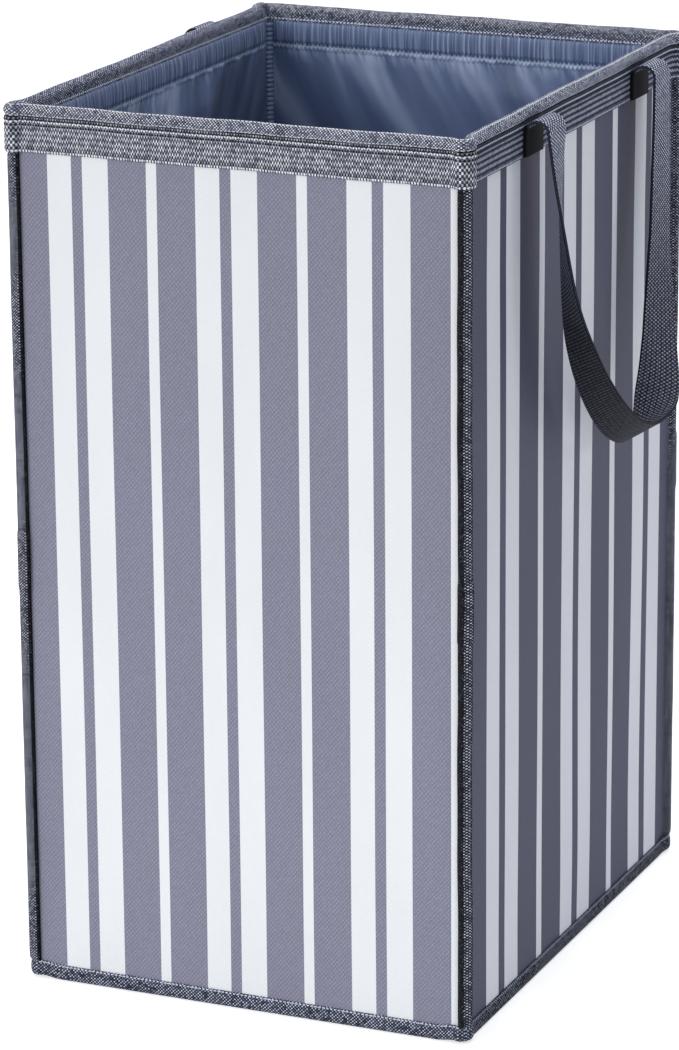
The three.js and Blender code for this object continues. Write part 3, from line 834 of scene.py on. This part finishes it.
def channel_ridges(noise, uu, above, half):
    """Fine ridges of the gathered channel, which stand closer together near the corners."""
    ridges = np.zeros_like(uu)
    place = -half + 3
    while place < half:
        lean = noise.uniform(-0.1, 0.1)
        width = noise.uniform(0.6, 1.0)
        height = noise.uniform(0.45, 1.1)
        away = (uu - place - lean * above) / width
        ridges += height * np.exp(-(away**2))
        middle = smooth((half - abs(place)) / 70)
        place += noise.uniform(2.8, 4.6) + middle * noise.uniform(0, 3)
    return ridges


def hanging(noise, uu, down, half, lean_way, kind):
    """Folds that lean and widen below the stitch line and fade away downward."""
    swell = np.zeros_like(uu)
    for _ in range(int(half / kind["pitch"])):
        place, lean = noise.uniform(-half, half), lean_way * noise.uniform(*kind["lean"])
        width, length = noise.uniform(*kind["width"]), noise.uniform(*kind["length"])
        away = (uu - place - lean * down) / (width * (1 + down / kind["widening"]))
        fade = np.exp(-((down / length) ** kind["power"]))
        swell += noise.uniform(*kind["height"]) * np.exp(-(away**2)) * fade
    return swell


def lining_swell(uu, zz, half, seed, lean_way):
    """How far the lining stands in from the wall. lean_way is the side its folds lean to."""
    noise = np.random.RandomState(seed)
    above, down = zz - STITCH_Z, np.clip(STITCH_Z - zz, 0, 600)
    ridges = channel_ridges(noise, uu, above, half)
    pleats, folds = (hanging(noise, uu, down, half, lean_way, x) for x in (PLEATS, FOLDS))
    fade = smooth((half - np.abs(uu)) / 14)
    far = smooth((half - np.abs(uu)) / 70)
    rise = np.clip(above / CHANNEL, 0, 1)
    channel = 0.4 + (1.1 + ridges) * np.sin(math.pi * rise) ** 0.5
    hang = 0.3 + pleats * smooth(down / 3) + far * folds * smooth(down / 30)
    hang *= 1 - smooth((down - 480) / 110) * 0.8
    pucker = np.abs(np.sin(math.pi * uu / 3.3)) * np.exp(-np.abs(above + 1.2) / 2.0)
    swell = np.where(above >= 0, channel, hang) + 0.45 * pucker
    return np.minimum(swell * fade, MOST_SWELL)


def lining(side, seed):
    half = WALLS[side][2]
    span = half - CLEARANCE
    us = np.linspace(-span, span, int(2 * span / 1.25))
    zs = [
        np.linspace(LINING_BOTTOM, STITCH_Z - 60, 46)[:-1],
        np.linspace(STITCH_Z - 60, STITCH_Z - 8, 22)[:-1],
        np.linspace(STITCH_Z - 8, STITCH_Z + 6, 15)[:-1],
        np.linspace(STITCH_Z + 6, LINING_TOP, 9),
    ]
    uu, zz = np.meshgrid(us, np.concatenate(zs), indexing="ij")
    swell = lining_swell(uu, zz, half, seed, FOLDS_LEAN[side])
    rings, uv = wall_sheet(side, uu, zz, LINING_IN - swell, LINING_OUT - swell)
    piece = mesh(f"{side}_satin", rings, uv, sharp=80)
    finished(piece, SATIN[side], f"{side}_wall", (f"{side}_lining",))


for index, side in enumerate(WALLS):
    lining(side, FIRST_SEED + index)


# Bound corner seams

# How far the bead of a seam reaches out along the bisector, and its width across it
SEAM_SIZE, LAP_SIZE, HEM_END_SIZE, RIM_END_SIZE = (12.5, 9.0), (13.1, 10.1), (10.2, 7.6), (11.2, 7.6)
STEM_START, NECK, STEM_HALF = 1.35, 6.2, 2.25
BEAD_CENTRE = NECK + 2.6
# The length of the outline round a seam, and that of one of the inner edge's sides
SEAM_ROUND, INNER_SIDE_MM = 38.0, 1.4
INNER_SIDES = 8


def seam_section(reach, width, shift, steps=14, squared=0.72):
    """Points (along the bisector, across it, v) of a flat stem with a taped bead, which leans
    across by shift."""
    points = [
        (STEM_START, -STEM_HALF, 0.0),
        (NECK - 0.4, -STEM_HALF, 4.5),
        (NECK, -STEM_HALF - 0.6, 5.4),
    ]
    deep = reach - BEAD_CENTRE
    for i in range(steps + 1):
        angle = math.pi * (1.24 * i / steps - 0.62)
        c, s = math.cos(angle), math.sin(angle)
        along = BEAD_CENTRE + deep * math.copysign(abs(c) ** squared, c) * (1 if c > 0 else 0.65)
        across = width / 2 * math.copysign(abs(s) ** squared, s)
        points.append((along, across + shift, 6.5 + 1.35 * i))
    return points + [
        (NECK, STEM_HALF + 0.6, 27.0),
        (NECK - 0.4, STEM_HALF, 28.0),
        (STEM_START, STEM_HALF, 32.5),
    ]


def seam_levels():
    """Heights up a seam, each with its bead's reach and width. The tape laps at mid height."""
    levels = [(3.4, *HEM_END_SIZE), (11.0, *HEM_END_SIZE), (14.2, 12.2, 8.8)]
    levels += [(z, *SEAM_SIZE) for z in np.arange(20, 290, 6.0)]
    levels += [(291.5, 12.6, 9.1), (293, 13.0, 9.9), (296, *LAP_SIZE)]
    levels += [(z, *LAP_SIZE) for z in np.arange(302, 330, 6.0)]
    levels += [(331, 13.1, 10.0), (333.5, 13.0, 9.8), (335, 12.6, 9.1)]
    levels += [(z, *SEAM_SIZE) for z in np.arange(341, 600, 6.0)]
    return levels + [(604.5, 12.3, 8.8), (607, *RIM_END_SIZE), (628, *RIM_END_SIZE)]


def bisector(corner):
    """A corner's fold line in plan, and the ways out along its bisector and across it."""
    a, b, fold = CORNERS[corner]
    way = np.array(WALLS[a][0], float) + np.array(WALLS[b][0], float)
    way /= np.linalg.norm(way)
    return np.array(fold), way, np.array([-way[1], way[0]])


def corner_seam(corner):
    fold, way, side_way = bisector(corner)
    wider, shift = (0.4, 0.0) if corner == "front_left" else (1.5, 1.2)
    rings, uv = [], []
    for z, reach, width in seam_levels():
        section = np.array(seam_section(reach, width + wider, shift))
        drift = 0.35 * math.sin(z * 0.021 + 1.0) + 0.15 * math.sin(z * 0.083)
        drift *= float(smooth((z - 20) / 60) * smooth((590 - z) / 60))
        plan = fold + section[:, :1] * way + (section[:, 1:2] + drift) * side_way
        rings.append(np.column_stack([plan, np.full(len(plan), z)]))
        uv.append(np.column_stack([np.full(len(plan) + 1, z), [*section[:, 2], SEAM_ROUND]]))
    piece = mesh(f"corner_seam_{corner}", rings, uv, sharp=60)
    node = f"corner_binding_{corner}"
    finished(piece, SEAM[corner], f"{corner}_corner", (node,))


def inner_seam(corner):
    """The puckered inner edge of the seam, seen between the two linings."""
    fold, way, side_way = bisector(corner)
    rings, uv = [], []
    for z in np.arange(12, 626, 1.1):
        swell = 1 + 0.1 * math.sin(2 * math.pi * z / INNER_PITCH)
        ring = []
        for i in range(INNER_SIDES):
            angle = 2 * math.pi * (i + 0.5) / INNER_SIDES
            along, across = 1.7 * swell * math.cos(angle) - 2.0, 3.3 * swell * math.sin(angle)
            ring.append([*(fold + way * along + side_way * across), z])
        rings.append(ring)
        uv.append([[z, i * INNER_SIDE_MM] for i in range(INNER_SIDES + 1)])
    piece = mesh(f"inner_seam_{corner}", rings, uv, sharp=80)
    finished(piece, INNER_SEAM, f"{corner}_corner")


for corner in CORNERS:
    corner_seam(corner)
    inner_seam(corner)


# Handles

HANDLE_SPAN, HANDLE_SHIFT, HANDLE_DROP, HANDLE_LEAN = 212, 17, 242, 18
STRAP_WIDTH, STRAP_THICKNESS, STRAP_BEND = 32, 2.4, 7
STRAP_EDGE, STRAP_CROWN = 0.7, 0.12
PIVOT_OUT, PIVOT_Z = 18.9, 623.964
STRAND_OUT = PIVOT_OUT + STRAP_BEND
BEND_RISE = STRAP_BEND + 0.8
TAB_IN, TAB_OUT, TAB_HALF = 7.9, 8.4, 16.6
LEG_OUT, LEG_Z = 9.4, 607.2
LEG_STEPS, BEND_STEPS, LOOP_POINTS = 6, 18, 161
TWIST_TILT = math.radians(32)
# Along the wall, down and outward, as shares of half the span, the drop and the lean
LOOP_SHARES = (
    (-1.0, 0.0, 0.0), (-0.97, 0.15, 0.03), (-0.93, 0.3, 0.12), (-0.88, 0.47, 0.28),
    (-0.79, 0.6, 0.42), (-0.62, 0.74, 0.6), (-0.35, 0.88, 0.82), (-0.05, 0.97, 0.96),
    (0.24, 1.0, 1.0), (0.47, 0.965, 0.93), (0.62, 0.895, 0.8), (0.71, 0.8, 0.63),
    (0.78, 0.66, 0.45), (0.86, 0.5, 0.27), (0.94, 0.33, 0.12), (0.99, 0.15, 0.03), (1.0, 0.0, 0.0),
)
# How far along the loop, and what share of its half turn is done there
TWIST_SHARES = (
    (0.0, 0.0), (0.1, 0.12), (0.2, 0.21), (0.28, 0.3), (0.4, 0.39), (0.52, 0.51), (0.6, 0.72),
    (0.67, 0.84), (0.74, 0.92), (0.8, 0.97), (1.0, 1.0),
)


def lerp(t, start, end, a, b):
    """The value at t on a straight run from a at start to b at end."""
    return (end - t) / (end - start) * a + (t - start) / (end - start) * b


def spline(points, per_span=40):
    """Centripetal spline through the points, densely sampled."""
    points = [np.array(p, float) for p in points]
    points = [2 * points[0] - points[1], *points, 2 * points[-1] - points[-2]]
    out = []
    for p0, p1, p2, p3 in zip(points, points[1:], points[2:], points[3:]):
        t0, t1 = 0.0, np.linalg.norm(p1 - p0) ** 0.5
        t2 = t1 + np.linalg.norm(p2 - p1) ** 0.5
        t3 = t2 + np.linalg.norm(p3 - p2) ** 0.5
        for t in np.linspace(t1, t2, per_span, endpoint=False):
            a, b, c = lerp(t, t0, t1, p0, p1), lerp(t, t1, t2, p1, p2), lerp(t, t2, t3, p2, p3)
            out.append(lerp(t, t1, t2, lerp(t, t0, t2, a, b), lerp(t, t1, t3, b, c)))
    out.append(points[-2])
    return np.array(out)


def evenly(points, count):
    run = np.concatenate([[0], np.cumsum(np.linalg.norm(np.diff(points, axis=0), axis=1))])
    wanted = np.linspace(0, run[-1], count)
    return np.stack([np.interp(wanted, run, points[:, i]) for i in range(3)], 1)


def strap_end(x, lift):
    """The leg sewn to the wall and the bend over its top, up to the hanging loop."""
    rows = [(x, LEG_OUT, LEG_Z + (PIVOT_Z - LEG_Z) * i / LEG_STEPS) for i in range(LEG_STEPS)]
    for i in range(BEND_STEPS):
        angle = math.pi * (1 - i / BEND_STEPS)
        out = LEG_OUT + (STRAND_OUT - LEG_OUT) / 2 * (1 + math.cos(angle))
        rows.append((x, out, PIVOT_Z + (BEND_RISE + lift) * math.sin(angle)))
    return rows


def strap_path(lifts):
    """The strap's middle line, and the number of points on each of its two ends."""
    half = HANDLE_SPAN / 2
    loop = [
        (HANDLE_SHIFT + s * half, STRAND_OUT + o * HANDLE_LEAN, PIVOT_Z - d * HANDLE_DROP)
        for s, d, o in LOOP_SHARES
    ]
    first = strap_end(HANDLE_SHIFT - half, lifts[0])
    last = strap_end(HANDLE_SHIFT + half, lifts[1])[::-1]
    return np.array([*first, *evenly(spline(loop), LOOP_POINTS), *last]), len(first)


def strap_section():
    """Points (across, through, v) round the strap, whose two faces are crowned."""
    half = STRAP_WIDTH / 2
    across = np.linspace(STRAP_EDGE - half, half - STRAP_EDGE, 15)
    flatter = STRAP_CROWN * (1 - np.cos(across / half * math.pi / 2))
    face = list(zip(across, STRAP_THICKNESS / 2 - flatter))
    over = [(x, -y, x) for x, y in face]
    under = [(x, y, x + UNDERSIDE) for x, y in face[::-1]]
    return [(-half, 0.0, -half), *over, (half, 0.0, half), *under]


def strap_rings(lifts):
    """The strap in its wall's frame: along the wall, outward, up. lifts raise its two bends."""
    path, sewn = strap_path(lifts)
    section = strap_section()
    last = len(path) - 1
    rings, uv, run = [], [], 0.0
    for i, point in enumerate(path):
        before, after = path[max(i - 1, 0)], path[min(i + 1, last)]
        tangent = (after - before) / np.linalg.norm(after - before)
        share = np.interp((i - sewn) / (last - 2 * sewn), *np.transpose(TWIST_SHARES))
        turn = math.pi * float(share)
        tilt = TWIST_TILT * math.sin(turn)
        outward, up = -math.sin(turn) * math.cos(tilt), -math.sin(turn) * math.sin(tilt)
        side = np.array([math.cos(turn), outward, up])
        side -= tangent * side.dot(tangent)
        side /= np.linalg.norm(side)
        normal = np.cross(tangent, side)
        if i:
            run += np.linalg.norm(point - path[i - 1])
        rings.append([point + side * x + normal * y for x, y, _ in section])
        uv.append([[run, v] for _, _, v in [*section, section[0]]])
    uv = np.array(uv)
    uv[..., 0] = np.minimum(uv[..., 0], run - uv[..., 0])
    return np.array(rings), uv


def strap(side, mirror, lifts):
    rings, uv = strap_rings(lifts)
    placed = at(side, mirror * rings[..., 0], rings[..., 1], rings[..., 2])
    piece = mesh(f"{side}_strap", placed, uv, sharp=50)
    finished(piece, STRAP, None, (f"{side}_handle",))
    at(side, 0, 11.5, PIVOT_Z) * MM
    at(side, 0, PIVOT_OUT + 4, PIVOT_Z) * MM
    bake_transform(piece)


def tab(side, letter, middle):
    us = np.linspace(-TAB_HALF, TAB_HALF, 15)
    zs = np.linspace(BAND_BOTTOM, BAND_TOP - 4, 14)
    uu, zz = np.meshgrid(us, zs, indexing="ij")
    face, back = (at(side, middle + uu, out, zz) for out in (TAB_OUT, TAB_IN))
    rings, uv = closed(face, back, np.stack([uu, zz], -1))
    piece = mesh(f"{side}_tab_{letter}", rings, uv)
    node = f"{side}_handle_tab_{letter}"
    finished(piece, TAB, f"{side}_wall", (node,))


for side, mirror, lifts in (("right", 1, (0.0, 0.0)), ("left", -1, (-3.0, 4.0))):
    strap(side, mirror, lifts)
    for letter, sign in (("a", -1), ("b", 1)):
        tab(side, letter, mirror * (HANDLE_SHIFT + sign * HANDLE_SPAN / 2))


# Base

BASE_MARGIN, BASE_Z, BASE_CROWN, UNDER_Z = 0.1, 1.4, 0.5, 0.1
# The under face is wider, so that its slanted edge closes the gap to the hem
UNDER_SPREAD = 1.004


def base_sheet():
    reach_x, reach_y = FOLD_X + BASE_MARGIN, FOLD_Y + BASE_MARGIN
    xs, ys = np.linspace(-reach_x, reach_x, 24), np.linspace(-reach_y, reach_y, 40)
    xx, yy = np.meshgrid(xs, ys, indexing="ij")
    arch_x, arch_y = (
        np.sin(math.pi * (x / half + 1) / 2) for x, half in ((xx, FOLD_X), (yy, FOLD_Y))
    )
    face = np.stack([xx, yy, BASE_Z + BASE_CROWN * arch_x * arch_y], -1)
    under = np.stack([xx * UNDER_SPREAD, yy * UNDER_SPREAD, np.full_like(xx, UNDER_Z)], -1)
    rings, uv = closed(face, under, np.stack([xx, yy], -1))
    base = mesh("base_sheet", rings, uv)
    finished(base, BASE, "front_wall", ("base_panel",))
    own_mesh(base)


base_sheet()


# Floor, light and camera

FLOOR_HALF, FLOOR_Z, FLOOR_COLOUR, FLOOR_GLOW = 8, -0.0004, (0.86, 0.86, 0.87), 0.6
AMBIENT_COLOUR, AMBIENT_STRENGTH = (0.93, 0.96, 1.0), 0.52
AZIMUTH, ELEVATION, ROLL = (math.radians(x) for x in (23.4944, 16.4498, -0.4531))
FOCAL_PX, PHOTO_HEIGHT_PX, SENSOR_MM = 4662.3, 1050, 36
# From the middle of the hamper, in shares of its height
CAMERA_BACK, CAMERA_LEFT, CAMERA_DOWN = 5.3109, 0.02243, 0.0299


def floor_material():
    """A pale surface that glows for the camera and in mirrors, and lights nothing."""
    material = bpy.data.materials.new("pale_floor")
    tree = cleared(material)
    rays = added(tree, "ShaderNodeLightPath").outputs
    seen = added(tree, "ShaderNodeMath", rays["Is Camera Ray"], rays["Is Glossy Ray"])
    seen.operation = "MAXIMUM"
    strength = added(tree, "ShaderNodeMath", seen.outputs[0], FLOOR_GLOW)
    strength.operation = "MULTIPLY"
    diffuse = added(tree, "ShaderNodeBsdfDiffuse", (*FLOOR_COLOUR, 1))
    glow = added(tree, "ShaderNodeEmission", (1, 1, 1, 1), strength.outputs[0])
    both = added(tree, "ShaderNodeAddShader", diffuse.outputs[0], glow.outputs[0])
    added(tree, "ShaderNodeOutputMaterial", both.outputs[0])
    return material


def add_floor():
    data = bpy.data.meshes.new("floor")
    places = [(x * FLOOR_HALF, y * FLOOR_HALF, 0) for x, y in ((-1, -1), (1, -1), (1, 1), (-1, 1))]
    data.from_pydata(places, [], [(0, 1, 2, 3)])
    floor = bpy.data.objects.new("floor", data)
    floor.location.z = FLOOR_Z
    data.materials.append(floor_material())
    bpy.context.scene.collection.objects.link(floor)


def add_world():
    """A white ground for the camera, and a soft bluish light for everything else."""
    world = bpy.data.worlds.new("studio")
    bpy.context.scene.world = world
    tree = cleared(world)
    rays = added(tree, "ShaderNodeLightPath").outputs
    ambient = added(tree, "ShaderNodeBackground", (*AMBIENT_COLOUR, 1), AMBIENT_STRENGTH)
    white = added(tree, "ShaderNodeBackground", (1, 1, 1, 1), 1.0)
    grounds = ambient.outputs[0], white.outputs[0]
    mix = added(tree, "ShaderNodeMixShader", rays["Is Camera Ray"], *grounds)
    added(tree, "ShaderNodeOutputWorld", mix.outputs[0])


def lamp(name, place, target, size, watts, colour=(1, 1, 1)):
    """A square lamp. Its place, target and size are in metres."""
    data = bpy.data.lights.new(name, "AREA")
    data.shape = "RECTANGLE"
    data.size = data.size_y = size
    data.energy = watts
    data.color = colour
    made = bpy.data.objects.new(name, data)
    made.location = place
    way = Vector(target) - Vector(place)
    made.rotation_euler = way.to_track_quat("-Z", "Y").to_euler()
    bpy.context.scene.collection.objects.link(made)


def add_camera():
    flat = Vector((math.sin(AZIMUTH), -math.cos(AZIMUTH), 0))
    back = flat * math.cos(ELEVATION) + Vector((0, 0, math.sin(ELEVATION)))
    level = Vector((math.cos(AZIMUTH), math.sin(AZIMUTH), 0))
    upright = back.cross(level)
    right = level * math.cos(ROLL) + upright * math.sin(ROLL)
    up = back.cross(right)
    data = bpy.data.cameras.new("camera")
    data.sensor_width = SENSOR_MM
    data.lens = FOCAL_PX * SENSOR_MM / PHOTO_HEIGHT_PX
    camera = bpy.data.objects.new("camera", data)
    away = back * CAMERA_BACK - level * CAMERA_LEFT - upright * CAMERA_DOWN
    camera.location = (Vector((0, 0, 0.5)) + away) * HEIGHT * MM
    camera.rotation_euler = Matrix((right, up, back)).transposed().to_euler()
    bpy.context.scene.collection.objects.link(camera)
    bpy.context.scene.camera = camera


add_floor()
add_world()
lamp("key", (-4.0, -8.2, 3.9), (0, 0, 0.32), 5.2, 425)
lamp("top", (0.2, 0.3, 3.0), (0, 0, 0.3), 1.6, 22)
lamp("side", (2.9, 2.2, 1.2), (0.16, 0, 0.35), 0.8, 11.2, (0.87, 0.91, 0.98))
add_camera()
bpy.context.scene.view_settings.view_transform = "Standard"

bpy.context.view_layer.update()
